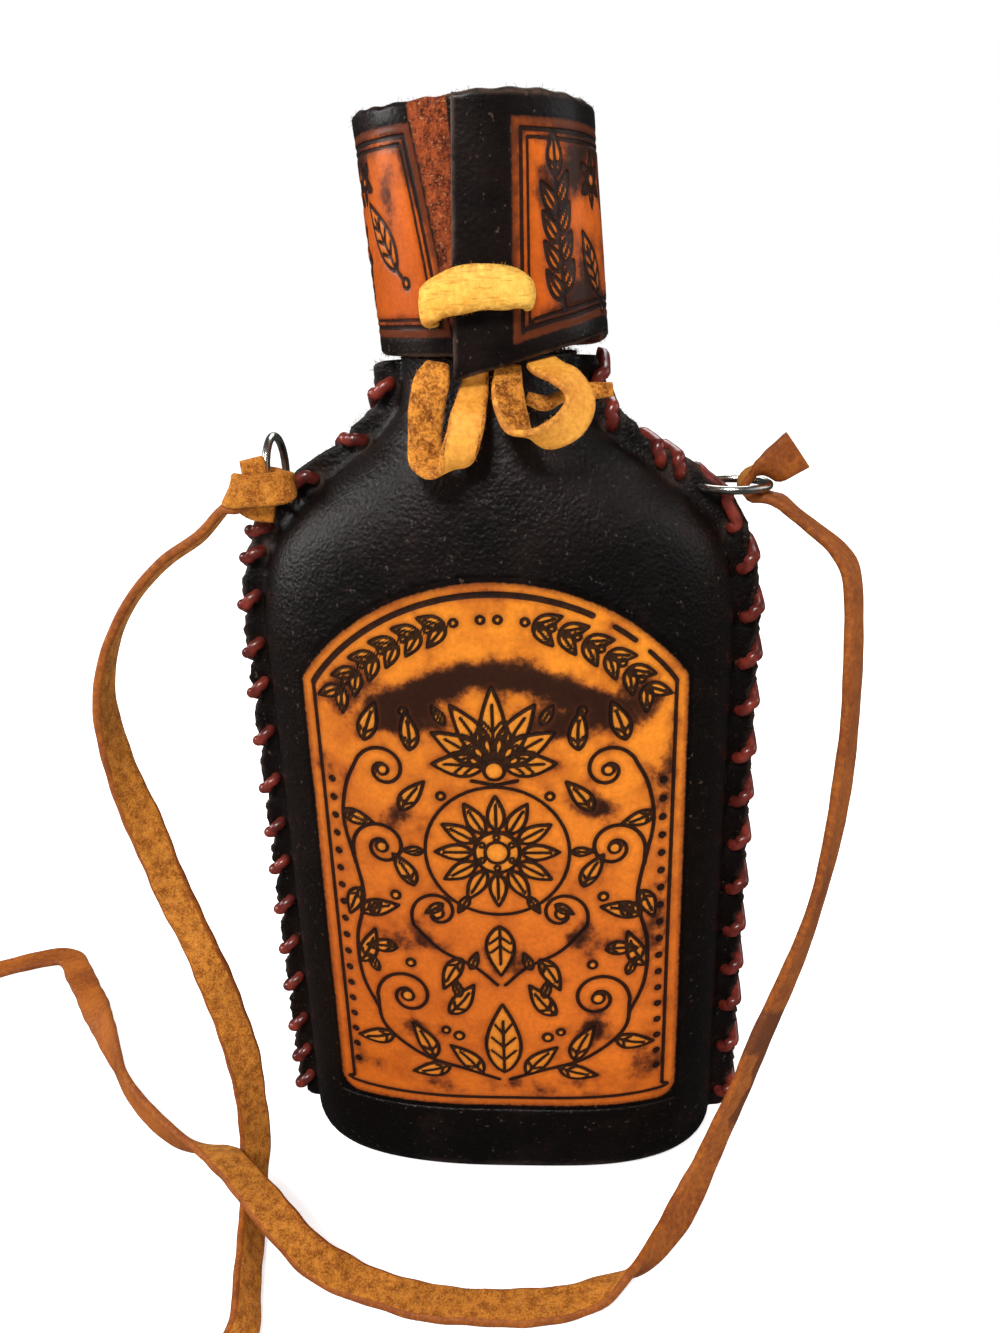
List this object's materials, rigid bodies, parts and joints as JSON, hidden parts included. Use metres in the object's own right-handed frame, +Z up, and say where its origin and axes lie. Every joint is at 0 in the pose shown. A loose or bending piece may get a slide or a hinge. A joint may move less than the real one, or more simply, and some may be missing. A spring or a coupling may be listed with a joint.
{
  "type": "leather-wrapped flask",
  "caption": "Flat glass bottle in a laced leather cover with a tooled front, a leather neck collar tied with a thong, shoulder rings and a long leather strap",
  "frame": {"origin": "the middle of the flat base, on the surface that the flask stands on", "axes": "+Z runs up the bottle, the tooled front faces -Y, +X is to the right seen from the front"},
  "size_m": [0.2743, 0.1583, 0.22],
  "materials": {
    "clear_glass": "clear moulded glass",
    "cap_aluminium": "plain rolled aluminium",
    "cap_liner_foam": "white foam liner",
    "dark_leather": "dark brown dyed leather with a tan tooled front",
    "lacing_cord": "glossy red-brown round lace",
    "collar_leather": "tooled red-brown leather with dark borders",
    "tan_thong": "golden tan split leather",
    "nickel_wire": "nickel-plated wire",
    "strap_leather": "smooth on one face, suede on the other"
  },
  "bodies": {
    "flask": {"leather_cover": "dark_leather", "glass_bottle": "clear_glass", "left_lacing": "lacing_cord", "right_lacing": "lacing_cord", "shoulder_strap": "strap_leather"},
    "collar": {"neck_collar": "collar_leather", "collar_thong": "tan_thong", "bow_left_loop": "tan_thong", "bow_right_loop": "tan_thong", "bow_knot": "tan_thong"},
    "cap_carrier": {"cap_liner": "cap_liner_foam"},
    "cap": {"screw_cap": "cap_aluminium"},
    "left_ring_body": {"left_ring": "nickel_wire", "left_strap_knot": "strap_leather"},
    "right_ring_body": {"right_ring": "nickel_wire", "right_strap_knot": "strap_leather"}
  },
  "joints": [
    {"name": "collar_lift", "type": "slide", "parent": "flask", "child": "collar", "axis": [0, 0, 1], "range_m": [0, 0.06]},
    {"name": "cap_rise", "type": "slide", "parent": "flask", "child": "cap_carrier", "axis": [0, 0, 1], "range_m": [0, 0.0045]},
    {"name": "cap_turn", "type": "hinge", "parent": "cap_carrier", "child": "cap", "pos_m": [0, 0, 0.2], "axis": [0, 0, 1], "range_deg": [0, 540]},
    {"name": "left_ring_swing", "type": "hinge", "parent": "flask", "child": "left_ring_body", "pos_m": [-0.04322, 0, 0.15092], "axis": [0, -1, 0], "range_deg": [0, 14]},
    {"name": "right_ring_swing", "type": "hinge", "parent": "flask", "child": "right_ring_body", "pos_m": [0.03983, 0, 0.15341], "axis": [0, -1, 0], "range_deg": [0, 35]}
  ],
  "couplings": [
    {"joint": "cap_turn", "follows": "cap_rise", "rad_per_m": 2094.4}
  ]
}
